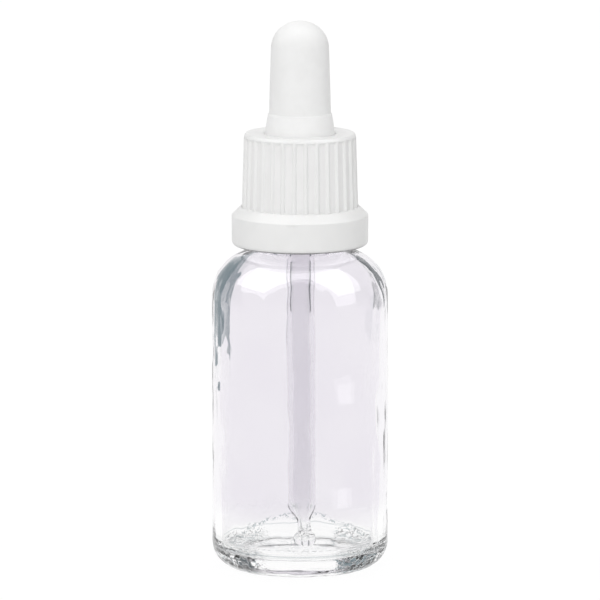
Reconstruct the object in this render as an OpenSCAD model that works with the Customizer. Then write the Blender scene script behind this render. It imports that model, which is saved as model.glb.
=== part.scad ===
// A clear glass bottle with a ribbed screw cap, a tamper band and a glass pipette in a rubber bulb.
// Millimetres. The origin is the middle of the base, on the surface that the bottle stands on.

/* [Bottle] */
// Outer diameter of the glass body
body_d = 33; // [30:0.5:38]
// Height at which the straight side ends and the shoulder starts
side_h = 51.5; // [42:0.5:66]
// Radius of the shoulder, on the outside
shoulder_r = 8.5; // [7:0.25:9.5]
// Radius of the shoulder, on the inside
shoulder_in_r = 9; // [8:0.25:9.5]
// Thickness of the glass over the highest part of the inner shoulder
shoulder_top_t = 1; // [0.9:0.1:1.4]
// Radius of the heel, between the side and the base
heel_r = 4.8; // [4:0.1:5.4]
// Wall of the body
glass_wall = 1.9; // [1.4:0.1:2.4]
// Thickness of the base at its middle
base_t = 2.6; // [2.2:0.1:3.2]
// Height of the inner floor where it meets the wall
floor_edge_h = 3.7; // [3.4:0.1:4.4]
// Radius between the inner floor and the wall
floor_r = 2.2; // [1.8:0.1:3]
// Rise of the hollow under the base
push_up = 0.9; // [0.4:0.1:1.2]
// Width of the flat ring that the bottle stands on
ring_w = 0.9; // [0.6:0.1:1.2]

/* [Neck] */
// Height from the top of the shoulder to the lip
neck_h = 19.5; // [18.5:0.25:22]
// Outer radius of the neck under the bead
neck_r = 8.3; // [8.1:0.05:8.5]
// Radius of the neck between the threads
thread_root_r = 7.95; // [7.9:0.05:8]
// Bore of the neck
bore_d = 11; // [10.8:0.1:11.4]
// Radius of the bead that holds the tamper band
bead_r = 9.3; // [9.2:0.05:9.35]
// Height of the bead
bead_t = 1.2; // [0.8:0.1:1.4]
// Height of the bead above the top of the shoulder
bead_rise = 4.1; // [4:0.1:4.3]
// Radius of the rounded lip
lip_r = 0.6; // [0.3:0.1:0.8]
// Radius where the bore opens into the body
throat_r = 1.4; // [0.8:0.1:1.6]

/* [Thread] */
// Rise of the thread in one turn
pitch = 3; // [2.8:0.1:3.2]
// Length of each thread ridge in turns
turns = 1.25; // [1:0.25:1.25]
// Radius of the crest of the thread on the glass
glass_crest_r = 8.9; // [8.8:0.05:8.95]
// Radius of the crest of the thread in the cap
cap_crest_r = 8.15; // [8.1:0.05:8.3]
// Width of a ridge where it leaves its wall
ridge_root_w = 1.7; // [1.4:0.1:1.8]
// Width of a ridge at its crest
ridge_crest_w = 0.6; // [0.4:0.1:0.8]
// Depth of the upper end of the glass thread below the lip
thread_drop = 2.2; // [2:0.1:2.6]

/* [Cap] */
// Wall of the skirt under the ribs, at its foot
skirt_foot_t = 1.25; // [1.1:0.05:1.4]
// Wall of the skirt under the ribs, at its top
skirt_top_t = 0.85; // [0.7:0.05:1]
// Depth of the ribs
rib_depth = 0.4; // [0.3:0.05:0.45]
// Radius of the round of each rib
rib_r = 0.52; // [0.46:0.02:0.6]
// Number of ribs
rib_count = 30; // [24:2:34]
// Play between the skirt and the thread of the glass
skirt_play = 0.3; // [0.2:0.05:0.4]
// Thickness of the top plate
plate_t = 1.3; // [1:0.1:1.6]
// Radius of the round at the rim
rim_round = 0.5; // [0.3:0.1:0.8]
// Height of the foot of the skirt above the top of the shoulder
skirt_rise = 7.8; // [7.7:0.05:8]

/* [Tamper band] */
// Reach of the tamper band past the foot of the cap
band_reach = 1.9; // [1.6:0.1:2.4]
// Gap between the shoulder of the glass and the foot of the band
band_rise = 1; // [0.8:0.1:1.1]
// Wall of the outer skirt of the band
band_wall = 1.1; // [0.8:0.1:1.2]
// Thickness of the web at the top of the band
web_t = 1.2; // [1:0.1:1.4]
// Height of the sloping shoulder of the band
band_slope_h = 1.5; // [1.2:0.1:1.6]
// Radius at the foot of the band
band_foot_round = 0.85; // [0.5:0.05:1]
// Play between the band and the neck bead
bead_play = 0.2; // [0.15:0.05:0.25]
// Reach of the snap lip under the bead
snap_reach = 0.55; // [0.4:0.05:0.6]
// Height of the bridges between the band and the cap
bridge_h = 0.6; // [0.4:0.05:0.7]
// Diameter of each bridge
bridge_d = 0.8; // [0.6:0.05:0.9]
// Number of bridges
bridge_count = 8; // [4:4:8]
// Play between the cap and the lip of the band
lip_play = 0.2; // [0.15:0.05:0.25]

/* [Rubber bulb] */
// Radius of the bulb where it leaves the cap
bulb_foot_r = 6.5; // [6.3:0.05:6.6]
// Radius of the bulb at the crease above its foot
bulb_waist_r = 5.75; // [5.5:0.05:5.9]
// Radius of the bulb where its dome starts
bulb_dome_r = 5.4; // [5.1:0.05:5.6]
// Height of the bulb above the top of the cap
bulb_h = 21; // [18:0.1:24]
// Height of the crease above the top of the cap
crease_h = 3.7; // [3.4:0.1:4.2]
// Height of the dome
dome_h = 5.1; // [4:0.1:5.3]
// Wall of the bulb
bulb_wall = 1.3; // [1:0.1:1.5]
// Radius of the flange on the lip of the glass
flange_r = 8; // [7.8:0.1:8.5]
// Thickness of the flange
flange_t = 1.2; // [1:0.1:1.4]
// Length of the plug in the neck
plug_l = 4; // [3:0.25:4.5]
// Play between the plug and the bore of the neck
plug_play = 0.1; // [0.05:0.05:0.15]
// Play between the bulb and the hole of the cap
hole_play = 0.15; // [0.1:0.05:0.25]
// Height of the grip on the pipette above the top of the cap
grip_rise = 0.8; // [0.4:0.1:1.5]

/* [Pipette] */
// Outer diameter of the pipette
tube_d = 5.25; // [5:0.05:5.3]
// Wall of the pipette
tube_wall = 0.9; // [0.7:0.05:1.1]
// Height of the pipette above its grip
tube_top_l = 1.2; // [0.8:0.1:2]
// Radius of the neck above the ball
tip_neck_r = 1.4; // [1.3:0.05:1.6]
// Radius of the flattened ball at the tip
ball_r = 2.15; // [2:0.05:2.4]
// Height of the ball
ball_h = 3.2; // [2.8:0.1:3.6]
// Radius of the hole in the tip
tip_bore_r = 0.6; // [0.4:0.05:0.8]
// Height of the end of the tube above the tip
tube_end_l = 7.5; // [6.5:0.1:9]
// Height of the taper from the tube to the neck
tip_taper_l = 2.2; // [1.8:0.1:3]
// Height of the tip above the floor
tip_gap = 0.45; // [0.4:0.05:1]
// Play between the pipette and its grip
grip_play = 0.03; // [0.02:0.01:0.05]
// Lean of the tip towards the front, in degrees
lean_front = 1.8; // [0:0.1:1.9]
// Lean of the tip towards the right, in degrees
lean_right = 0.35; // [0:0.05:0.8]

/* [Hidden] */
$fn = 96;

arc_steps = 10;
ridge_steps_per_turn = 32;
// How far a thread ridge is sunk into its wall
ridge_root_sink = 0.25;
// The share of a ridge over which each end fades out, and the share of its depth left at the very end
ridge_fade = 0.06;
ridge_end = 0.08;
small_fn = 24;
cut = 0.5;

// Height of the foot of the ribs above the foot of the skirt
rib_foot_rise = 0.2;
// How far the round rim stands in from the crest of the ribs
rim_inset = 0.1;
// How far the lip of the band stands up beside the foot of the cap, and its width
band_lap = 0.4;
band_lip_w = 0.2;
// Height of the snap lip, of its lead-in and of its flat
snap_h = 1;
snap_lead_h = 0.3;
snap_flat_h = 0.3;
// Length and depth of the taper at the nose of the plug
plug_nose_l = 1.2;
plug_nose_in = 0.5;

body_r = body_d / 2;
inner_r = body_r - glass_wall;
bore_r = bore_d / 2;
shoulder_mid_r = body_r - shoulder_r;
shoulder_top_z = side_h + shoulder_r;
ring_r = body_r - heel_r - ring_w;
floor_mid_z = push_up + base_t;
lip_z = shoulder_top_z + neck_h;
bead_z = shoulder_top_z + bead_rise;
glass_thread_z = lip_z - thread_drop - pitch * turns;
cap_thread_z = glass_thread_z - pitch / 2;

skirt_z = shoulder_top_z + skirt_rise;
plate_z = lip_z + flange_t;
cap_top_z = plate_z + plate_t;
skirt_in_r = glass_crest_r + skirt_play;
foot_root_r = skirt_in_r + skirt_foot_t;
top_root_r = skirt_in_r + skirt_top_t;
cap_foot_r = foot_root_r + rib_depth;
cap_top_r = top_root_r + rib_depth;
cap_hole_r = bulb_foot_r + hole_play;
rib_foot_z = skirt_z + rib_foot_rise;
rib_top_z = cap_top_z - rim_round;

band_r = cap_foot_r + band_reach;
band_foot_z = shoulder_top_z + band_rise;
ledge_z = skirt_z - bridge_h;
band_lip_r = cap_foot_r + lip_play;
band_top_z = skirt_z + band_lap;
band_edge_z = band_top_z - band_slope_h;
band_in_r = bead_r + bead_play;
snap_z = bead_z - bead_play;

bulb_top_z = cap_top_z + bulb_h;
crease_z = cap_top_z + crease_h;
dome_z = bulb_top_z - dome_h;
grip_z = cap_top_z + grip_rise;
plug_z = lip_z - plug_l;
cavity_foot_r = bulb_waist_r - bulb_wall;
cavity_dome_r = bulb_dome_r - bulb_wall;

tube_r = tube_d / 2;
tube_bore_r = tube_r - tube_wall;
pipette_top_z = grip_z + tube_top_l;
tip_z = floor_mid_z + tip_gap;
ball_z = tip_z + ball_h / 2;
tube_end_z = tip_z + tube_end_l;
// The pipette leans about the middle of the plug
lean_z = lip_z - plug_l / 2;

// Points of a round stretch from angle a to angle b
function arc(mid_r, mid_z, r, a, b) = [
    for (i = [0 : arc_steps])
        let (t = a + (b - a) * i / arc_steps)
        [mid_r + r * cos(t), mid_z + r * sin(t)]
];

// Points of a shallow bowl from radius r0, height z0 to radius r1, height z1, with its middle on the axis
function bowl(r0, z0, r1, z1) = [
    for (i = [0 : arc_steps])
        let (r = r0 + (r1 - r0) * i / arc_steps, far = max(r0, r1))
        [r, r0 < r1 ? z0 + (z1 - z0) * pow(r / far, 2) : z1 + (z0 - z1) * pow(r / far, 2)]
];

// The angle at which an arc about mid_r reaches the radius stop_r
function stop_angle(mid_r, r, stop_r) = stop_r <= mid_r ? 90 : acos((stop_r - mid_r) / r);

// The four corners of a thread ridge at share s of its length
function ridge_corners(s, wall_r, crest_r, z) =
    let (
        turn = 360 * turns * s,
        fade = max(ridge_end, min(1, s / ridge_fade, (1 - s) / ridge_fade)),
        out = crest_r > wall_r ? 1 : -1,
        sunk_r = wall_r - out * ridge_root_sink,
        top_r = wall_r + (crest_r - wall_r) * fade,
        mid_z = z + pitch * turns * s
    )
    [for (c = [[sunk_r, -ridge_root_w], [top_r, -ridge_crest_w], [top_r, ridge_crest_w], [sunk_r, ridge_root_w]])
        [c[0] * cos(turn), c[0] * sin(turn), mid_z + c[1] / 2]];

// A helical ridge on a wall, outwards or inwards
module thread_ridge(wall_r, crest_r, z) {
    steps = ceil(ridge_steps_per_turn * turns);
    rings = [for (i = [0 : steps]) each ridge_corners(i / steps, wall_r, crest_r, z)];
    sides = [for (i = [0 : steps - 1], k = [0 : 3])
        let (a = 4 * i + k, b = 4 * i + (k + 1) % 4)
        [a, b, b + 4, a + 4]];
    ends = [[3, 2, 1, 0], [for (k = [0 : 3]) 4 * steps + k]];
    faces = concat(sides, ends);
    flipped = crest_r > wall_r ? faces : [for (f = faces) [for (k = [len(f) - 1 : -1 : 0]) f[k]]];
    polyhedron(rings, flipped, convexity = 6);
}

module glass_bottle() {
    out_stop = stop_angle(shoulder_mid_r, shoulder_r, neck_r);
    in_mid_r = inner_r - shoulder_in_r;
    in_mid_z = side_h + shoulder_r - shoulder_top_t - shoulder_in_r;
    in_stop = stop_angle(in_mid_r, shoulder_in_r, bore_r + throat_r);
    throat_z = in_mid_z + shoulder_in_r * sin(in_stop);
    bead_round = bead_t / 2;
    outside = concat(
        bowl(0, push_up, ring_r, 0),
        arc(body_r - heel_r, heel_r, heel_r, -90, 0),
        arc(shoulder_mid_r, side_h, shoulder_r, 0, out_stop),
        [[neck_r, bead_z]],
        arc(bead_r - bead_round, bead_z + bead_round, bead_round, -90, 90),
        [[thread_root_r, bead_z + bead_t]],
        arc(thread_root_r - lip_r, lip_z - lip_r, lip_r, 0, 90)
    );
    inside = concat(
        arc(bore_r + lip_r, lip_z - lip_r, lip_r, 90, 180),
        arc(bore_r + throat_r, throat_z + throat_r, throat_r, 180, 270),
        arc(in_mid_r, in_mid_z, shoulder_in_r, in_stop, 0),
        arc(inner_r - floor_r, floor_edge_h + floor_r, floor_r, 0, -90),
        bowl(inner_r - floor_r, floor_edge_h, 0, floor_mid_z)
    );
    color([0.85, 0.9, 0.93, 0.4])
    union() {
        rotate_extrude() polygon(concat(outside, inside));
        thread_ridge(thread_root_r, glass_crest_r, glass_thread_z);
    }
}

// Puts a shape at the lean of the pipette
module leaned() {
    translate([0, 0, lean_z])
    rotate([-lean_front, -lean_right, 0])
    translate([0, 0, -lean_z])
    children();
}

module glass_pipette() {
    neck_z = tube_end_z - tip_taper_l;
    mouth_stop = acos(tip_bore_r / ball_r);
    neck_stop = acos(tip_neck_r / ball_r);
    ball = [for (i = [0 : arc_steps])
        let (t = -mouth_stop + (neck_stop + mouth_stop) * i / arc_steps)
        [ball_r * cos(t), ball_z + ball_h / 2 * sin(t)]];
    outside = concat(ball, [[tip_neck_r, neck_z], [tube_r, tube_end_z], [tube_r, pipette_top_z]]);
    inside = [
        [tube_bore_r, pipette_top_z],
        [tube_bore_r, tube_end_z + tube_wall],
        [tip_bore_r, neck_z],
    ];
    color([0.85, 0.88, 0.93, 0.4])
    leaned()
    rotate_extrude() polygon(concat(outside, inside));
}

module rubber_bulb() {
    plug_r = bore_r - plug_play;
    plug_nose_r = plug_r - plug_nose_in;
    dome = [for (i = [0 : arc_steps])
        let (t = 90 * i / arc_steps)
        [bulb_dome_r * cos(t), dome_z + dome_h * sin(t)]];
    hollow_dome = [for (i = [0 : arc_steps])
        let (t = 90 * i / arc_steps)
        [cavity_dome_r * cos(t), dome_z + (dome_h - bulb_wall) * sin(t)]];
    outside = concat(
        [[0, plug_z], [plug_nose_r, plug_z], [plug_r, plug_z + plug_nose_l], [plug_r, lip_z]],
        [[flange_r, lip_z], [flange_r, plate_z], [bulb_foot_r, plate_z]],
        [[bulb_foot_r, cap_top_z], [bulb_waist_r, crease_z]],
        dome
    );
    hollow = concat([[0, grip_z], [cavity_foot_r, grip_z], [cavity_foot_r, crease_z]], hollow_dome);
    color("#ececea")
    difference() {
        rotate_extrude() polygon(outside);
        rotate_extrude() polygon(hollow);
        leaned()
        translate([0, 0, plug_z - cut])
        cylinder(r = tube_r + grip_play, h = grip_z - plug_z + 2 * cut);
    }
}

// One rib, upright on the tapered skirt
module cap_rib() {
    taper = atan((cap_foot_r - cap_top_r) / (rib_top_z - rib_foot_z));
    translate([cap_foot_r - rib_r, 0, rib_foot_z])
    rotate([0, -taper, 0])
    cylinder(r = rib_r, h = (rib_top_z - rib_foot_z) / cos(taper), $fn = small_fn);
}

module screw_cap() {
    rim_r = cap_top_r - rim_inset;
    outside = concat(
        [[skirt_in_r, skirt_z], [foot_root_r, skirt_z], [top_root_r, rib_top_z]],
        arc(rim_r - rim_round, cap_top_z - rim_round, rim_round, 0, 90),
        [[cap_hole_r, cap_top_z], [cap_hole_r, plate_z], [skirt_in_r, plate_z]]
    );
    color("#ededec")
    union() {
        rotate_extrude() polygon(outside);
        intersection() {
            for (i = [0 : rib_count - 1])
                rotate([0, 0, 360 * i / rib_count])
                cap_rib();
            difference() {
                translate([0, 0, skirt_z]) cylinder(r = cap_foot_r + cut, h = cap_top_z - skirt_z);
                translate([0, 0, skirt_z - cut])
                cylinder(r = skirt_in_r + ridge_root_sink, h = cap_top_z - skirt_z + 2 * cut);
            }
        }
        thread_ridge(skirt_in_r, cap_crest_r, cap_thread_z);
    }
}

module tamper_band() {
    skirt_in = band_r - band_wall;
    ring_out_r = band_in_r + band_wall;
    snap_r = bead_r - snap_reach;
    flat_z = snap_z - snap_lead_h;
    foot_z = snap_z - snap_h;
    profile = concat(
        [[skirt_in, band_foot_z]],
        arc(band_r - band_foot_round, band_foot_z + band_foot_round, band_foot_round, -90, 0),
        [[band_r, band_edge_z], [band_lip_r + band_lip_w, band_top_z], [band_lip_r, band_top_z]],
        [[band_lip_r, ledge_z], [band_in_r, ledge_z], [band_in_r, snap_z]],
        [[snap_r, flat_z], [snap_r, flat_z - snap_flat_h], [band_in_r, foot_z], [ring_out_r, foot_z]],
        [[ring_out_r, ledge_z - web_t], [skirt_in, ledge_z - web_t]]
    );
    color("#e9e9e8")
    rotate_extrude() polygon(profile);
}

module tamper_bridges() {
    mid_r = (band_in_r + foot_root_r) / 2;
    color("#e9e9e8")
    for (i = [0 : bridge_count - 1])
        rotate([0, 0, 360 * i / bridge_count])
        translate([mid_r, 0, ledge_z])
        cylinder(d = bridge_d, h = bridge_h, $fn = small_fn);
}

glass_bottle();
glass_pipette();
rubber_bulb();
screw_cap();
tamper_band();
tamper_bridges();
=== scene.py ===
"""The looks of a dropper bottle: clear glass, a ribbed white closure and a rubber bulb."""

import math

import bmesh
import bpy
from mathutils import Matrix, Vector, noise


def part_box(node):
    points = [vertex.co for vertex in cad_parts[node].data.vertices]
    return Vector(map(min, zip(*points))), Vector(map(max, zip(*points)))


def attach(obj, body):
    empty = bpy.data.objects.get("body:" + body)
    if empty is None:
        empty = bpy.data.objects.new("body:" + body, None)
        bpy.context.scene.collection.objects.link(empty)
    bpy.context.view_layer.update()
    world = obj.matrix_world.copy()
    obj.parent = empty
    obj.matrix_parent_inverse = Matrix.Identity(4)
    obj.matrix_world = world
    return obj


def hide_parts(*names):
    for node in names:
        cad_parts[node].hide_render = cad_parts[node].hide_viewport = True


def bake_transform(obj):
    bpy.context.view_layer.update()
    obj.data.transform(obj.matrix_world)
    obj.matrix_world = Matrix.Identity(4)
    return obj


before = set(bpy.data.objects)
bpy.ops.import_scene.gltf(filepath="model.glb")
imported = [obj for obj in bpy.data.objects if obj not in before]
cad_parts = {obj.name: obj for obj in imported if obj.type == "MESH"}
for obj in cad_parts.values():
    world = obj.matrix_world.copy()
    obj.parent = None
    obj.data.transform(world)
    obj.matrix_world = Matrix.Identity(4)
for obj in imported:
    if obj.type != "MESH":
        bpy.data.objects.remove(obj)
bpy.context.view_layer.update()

MM = 0.001


# Sizes, in millimetres

def box_mm(node):
    """The lowest and highest corners of a node of the frame, in millimetres."""
    low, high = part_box(node)
    return low / MM, high / MM


GLASS_HIGH = box_mm("glass_bottle")[1]
BULB_LOW, BULB_HIGH = box_mm("rubber_bulb")
CAP_LOW, CAP_HIGH = box_mm("screw_cap")
BAND_LOW, BAND_HIGH = box_mm("tamper_band")
BRIDGE_LOW, BRIDGE_HIGH = box_mm("tamper_bridges")

# The glass bottle: IN is the hollow, MID_R the radius of a round's centre
BODY_R = GLASS_HIGH.x
LIP_Z = GLASS_HIGH.z
WALL = 1.9
INNER_R = BODY_R - WALL
HEEL_R = 4.8
SHOULDER_R = 8.5
SHOULDER_MID_R = BODY_R - SHOULDER_R
SHOULDER_IN_R = 9.0
SHOULDER_IN_MID_R = INNER_R - SHOULDER_IN_R
SIDE_Z = 51.5
SHOULDER_TOP_Z = SIDE_Z + SHOULDER_R
SHOULDER_TOP_WALL = 1.0
SHOULDER_IN_TOP_Z = SHOULDER_TOP_Z - SHOULDER_TOP_WALL
PUSH_UP = 0.9
STAND_RING_R = BODY_R - HEEL_R - 0.9
FLOOR_MID_Z = 3.5
FLOOR_EDGE_Z = 3.7
FLOOR_R = 2.2
NECK_R = 8.3
BORE_R = 5.5
THROAT_R = 1.4
LIP_ROUND = 0.6
BEAD_R = 9.3
BEAD_Z = SHOULDER_TOP_Z + 4.1
BEAD_T = 1.2

# The threads of the neck and of the cap
THREAD_ROOT_R = 7.95
THREAD_CREST_R = 8.9
PITCH = 3.0
TURNS = 1.25
RIDGE_ROOT_W = 1.7
RIDGE_CREST_W = 0.6
RIDGE_FADE_TURNS = 0.06
GLASS_THREAD_Z = LIP_Z - 2.2 - PITCH * TURNS
CAP_THREAD_Z = GLASS_THREAD_Z - PITCH / 2

# The screw cap
CAP_TOP_Z = CAP_HIGH.z
CAP_FOOT_Z = CAP_LOW.z
CAP_FOOT_R = 10.85
CAP_TOP_R = 10.45
CAP_CREST_R = 8.15
SKIRT_IN_R = 9.2
PLATE_Z = CAP_TOP_Z - 1.3
CAP_HOLE_R = 6.65
RIB_COUNT = 30
RIB_DEPTH = 0.42
RIB_SHARE = 0.42
RIB_TOP_Z = CAP_TOP_Z - 0.35
RIB_FOOT_Z = CAP_FOOT_Z + 0.15

# The tamper band; the mark of the mould's gate is a little left of the front
BAND_R = BAND_HIGH.x
BAND_FOOT_Z = BAND_LOW.z
BAND_TOP_Z = BAND_HIGH.z
BAND_EDGE_Z = BAND_TOP_Z - 1.5
BAND_LIP_R = CAP_FOOT_R + 0.06
BAND_IN_R = 9.5
BAND_WALL = 1.1
BAND_FOOT_ROUND = 0.85
BAND_EDGE_ROUND = 0.3
LEDGE_Z = BRIDGE_LOW.z
LEDGE_T = 1.2
SNAP_R = 8.75
SNAP_Z = BEAD_Z - 0.2
GATE_ANGLE = math.radians(-96)
GATE_RISE = 0.2
GATE_HALF_W = 1.1
GATE_HALF_H = 0.2
GATE_DROP = 0.1
GATE_REACH = 1

# The bridges between the cap and the band
BRIDGE_COUNT = 8
BRIDGE_FOOT_R = 0.26
BRIDGE_TOP_R = 0.4

# The rubber bulb
BULB_TOP_Z = BULB_HIGH.z
PLUG_Z = BULB_LOW.z
PLUG_R = BORE_R - 0.1
PLUG_TAPER_H = 1.2
FLANGE_R = BULB_HIGH.x
FLANGE_ROUND = 0.2
DOME_R = 5.4
DOME_H = 5.1
BULB_WALL = 1.3
BULB_CREASE_Z = CAP_TOP_Z + 3.7
GRIP_TOP_Z = CAP_TOP_Z + 0.8

# The glass pipette, which leans about a point on the axis
TUBE_R = 2.625
TUBE_BORE_R = 1.725
TUBE_TOP_Z = CAP_TOP_Z + 2.0
TUBE_ROUND = 0.2
TIP_Z = 3.95
TUBE_END_Z = TIP_Z + 7.5
TIP_NECK_Z = TUBE_END_Z - 2.2
BALL_R = 2.15
BALL_H = 3.2
TIP_NECK_R = 1.4
TIP_BEND = 0.6
TIP_BORE_R = 0.6
LEAN_Z = LIP_Z - 2
LEAN_FRONT = math.radians(1.8)
LEAN_RIGHT = math.radians(0.35)


# Outlines and lathed meshes

# Straight walls longer than this may be cut into longer steps
LONG_WALL = 30

# An outline that starts nearer to the axis than this is open there
ON_AXIS = 1e-6
MERGE_DISTANCE = 1e-7

# How far off its radius a vertex of a threaded wall may be
WALL_TOLERANCE = 0.02


def arc(mid_r, mid_z, r, start, end, steps, squeeze=1.0):
    """Points of a round stretch from start to end degrees; squeeze flattens it upright."""
    angles = [math.radians(start + (end - start) * i / steps) for i in range(steps + 1)]
    return [(mid_r + r * math.cos(a), mid_z + r * squeeze * math.sin(a)) for a in angles]


def bowl(r0, z0, r1, z1, steps=16):
    """Points of a shallow bowl that is level at the axis, from one radius to another."""
    far = max(r0, r1)
    low, rise = (z0, z1 - z0) if r0 < r1 else (z1, z0 - z1)
    radii = [r0 + (r1 - r0) * i / steps for i in range(steps + 1)]
    return [(r, low + rise * (r / far) ** 2) for r in radii]


def eased(points, step, wall_step=None):
    """The same outline cut into steps, which may be longer on long straight walls."""
    result = [points[0]]
    for (r0, z0), (r1, z1) in zip(points, points[1:]):
        length = math.hypot(r1 - r0, z1 - z0)
        longest = wall_step if wall_step and length > LONG_WALL else step
        count = max(1, math.ceil(length / longest))
        result += [(r0 + (r1 - r0) * i / count, z0 + (z1 - z0) * i / count)
                   for i in range(1, count + 1)]
    return result


def lathe(outline, segments):
    """A bmesh turned from an outline of (radius, height) about the upright axis."""
    bm = bmesh.new()
    verts = [bm.verts.new((r * MM, 0, z * MM)) for r, z in outline]
    closed = outline[0][0] > ON_AXIS
    pairs = list(zip(verts, verts[1:] + verts[:1] if closed else verts[1:]))
    edges = [bm.edges.new(pair) for pair in pairs]
    bmesh.ops.spin(bm, geom=verts + edges, cent=(0, 0, 0), axis=(0, 0, 1), angle=2 * math.pi,
                   steps=segments, use_merge=True)
    bmesh.ops.remove_doubles(bm, verts=bm.verts, dist=MERGE_DISTANCE)
    bmesh.ops.recalc_face_normals(bm, faces=bm.faces)
    return bm


def new_object(bm, name, material):
    """Turns a bmesh into an object at the origin, with one material."""
    mesh = bpy.data.meshes.new(name)
    bm.to_mesh(mesh)
    bm.free()
    mesh.materials.append(material)
    made = bpy.data.objects.new(name, mesh)
    bpy.context.scene.collection.objects.link(made)
    return made


def finished(bm, name, body, material, sharp):
    """A smooth piece that rides on a body, if one is given, and has edges sharp from an angle."""
    piece = new_object(bm, name, material)
    piece.data.shade_smooth()
    piece.data.set_sharp_from_angle(angle=math.radians(sharp))
    if body:
        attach(piece, body)
    return piece


def radius_and_height(vert):
    """How far a vertex is from the upright axis and how high, in millimetres."""
    return math.hypot(vert.co.x, vert.co.y) / MM, vert.co.z / MM


def set_radius(vert, r, grown):
    """Moves a vertex straight out or in, from one distance from the axis to another."""
    vert.co.x *= grown / r
    vert.co.y *= grown / r


def smooth_step(low, high, value):
    """0 below low, 1 above high, and a smooth rise between."""
    t = min(1.0, max(0.0, (value - low) / (high - low)))
    return t * t * (3 - 2 * t)


def ridge_height(angle, z, thread_z):
    """How far a thread ridge stands out at a point of its wall, from 0 to 1."""
    best = 0.0
    for lap in range(-1, int(TURNS) + 2):
        turn = angle / (2 * math.pi) + lap
        if 0 <= turn <= TURNS:
            off = abs(z - thread_z - PITCH * turn)
            flank = 1 - smooth_step(RIDGE_CREST_W / 2, RIDGE_ROOT_W / 2, off)
            start = smooth_step(0, RIDGE_FADE_TURNS, turn)
            end = smooth_step(0, RIDGE_FADE_TURNS, TURNS - turn)
            best = max(best, flank * (start * end))
    return best


def cut_thread(bm, wall_r, crest_r, thread_z):
    """Raises a thread ridge on the upright wall at a radius."""
    top = thread_z + PITCH * TURNS + RIDGE_ROOT_W
    for v in bm.verts:
        r, z = radius_and_height(v)
        if abs(r - wall_r) < WALL_TOLERANCE and thread_z - RIDGE_ROOT_W < z < top:
            angle = math.atan2(v.co.y, v.co.x) % (2 * math.pi)
            set_radius(v, r, wall_r + (crest_r - wall_r) * ridge_height(angle, z, thread_z))


# Shader maths

class Maths:
    """A socket that Python's operators join with Math nodes."""

    def __init__(self, tree, socket):
        self.tree = tree
        self.socket = socket

    def calculated(self, operation, *values):
        made = self.tree.nodes.new("ShaderNodeMath")
        made.operation = operation
        for socket, value in zip(made.inputs, values):
            if isinstance(value, Maths):
                self.tree.links.new(value.socket, socket)
            else:
                socket.default_value = value
        return Maths(self.tree, made.outputs[0])

    def __add__(self, other):
        return self.calculated("ADD", self, other)

    def __radd__(self, other):
        return self.calculated("ADD", other, self)

    def __sub__(self, other):
        return self.calculated("SUBTRACT", self, other)

    def __rsub__(self, other):
        return self.calculated("SUBTRACT", other, self)

    def __mul__(self, other):
        return self.calculated("MULTIPLY", self, other)

    def __rmul__(self, other):
        return self.calculated("MULTIPLY", other, self)

    def __truediv__(self, other):
        return self.calculated("DIVIDE", self, other)

    def __abs__(self):
        return self.calculated("ABSOLUTE", self)

    def __gt__(self, other):
        return self.calculated("GREATER_THAN", self, other)

    def __lt__(self, other):
        return self.calculated("LESS_THAN", self, other)

    def at_least(self, other):
        return self.calculated("MAXIMUM", self, other)

    def at_most(self, other):
        return self.calculated("MINIMUM", self, other)

    def ramp(self, low, high):
        """A smooth rise from 0 to 1 between two values."""
        made = self.tree.nodes.new("ShaderNodeMapRange")
        made.interpolation_type = "SMOOTHSTEP"
        self.tree.links.new(self.socket, made.inputs["Value"])
        made.inputs["From Min"].default_value = low
        made.inputs["From Max"].default_value = high
        return Maths(self.tree, made.outputs["Result"])

    def ramp_mm(self, low, high):
        """A smooth rise from 0 to 1 between two measures in millimetres."""
        return self.ramp(low * MM, high * MM)


def add_node(tree, kind, settings=None, **inputs):
    """Adds a node, sets its settings first, then links or sets its inputs by name.

    An input's name has its spaces as underscores, and n0 is the first input.
    """
    made = tree.nodes.new(kind)
    for name, value in (settings or {}).items():
        setattr(made, name, value)
    for name, value in inputs.items():
        key = name.replace("_", " ")
        numbered = key[0] == "n" and key[1:].isdigit()
        socket = made.inputs[int(key[1:])] if numbered else made.inputs[key]
        if isinstance(value, Maths):
            tree.links.new(value.socket, socket)
        elif isinstance(value, bpy.types.NodeSocket):
            tree.links.new(value, socket)
        else:
            socket.default_value = value
    return made


def new_tree(holder):
    """The empty node tree of a material or a world."""
    holder.use_nodes = True
    holder.node_tree.nodes.clear()
    return holder.node_tree


def new_material(name):
    """A material with its empty tree and the coordinates of the piece."""
    material = bpy.data.materials.new(name)
    tree = new_tree(material)
    return material, tree, add_node(tree, "ShaderNodeTexCoord").outputs["Object"]


def noise_value(tree, place, scale, detail=2.0, roughness=0.5, squash=(1, 1, 1), rise=None):
    """Noise over the piece's own coordinates, with features about 1/scale metres wide.

    With rise, it is a mask that goes from 0 to 1 between those two values of the noise.
    """
    mapped = add_node(tree, "ShaderNodeMapping", Vector=place, Scale=squash)
    made = add_node(tree, "ShaderNodeTexNoise", Vector=mapped.outputs["Vector"], Scale=scale,
                    Detail=detail, Roughness=roughness)
    value = Maths(tree, made.outputs["Fac"])
    return value.ramp(*rise) if rise else value


def mixed_colour(tree, mask, first, second):
    """The first colour where the mask is 0, the second where it is 1; a first may be a socket."""
    made = add_node(tree, "ShaderNodeMix", {"data_type": "RGBA"})
    tree.links.new(mask.socket, made.inputs["Factor"])
    if isinstance(first, bpy.types.NodeSocket):
        tree.links.new(first, made.inputs[6])
    else:
        made.inputs[6].default_value = (*first, 1)
    made.inputs[7].default_value = (*second, 1)
    return made.outputs[2]


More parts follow.
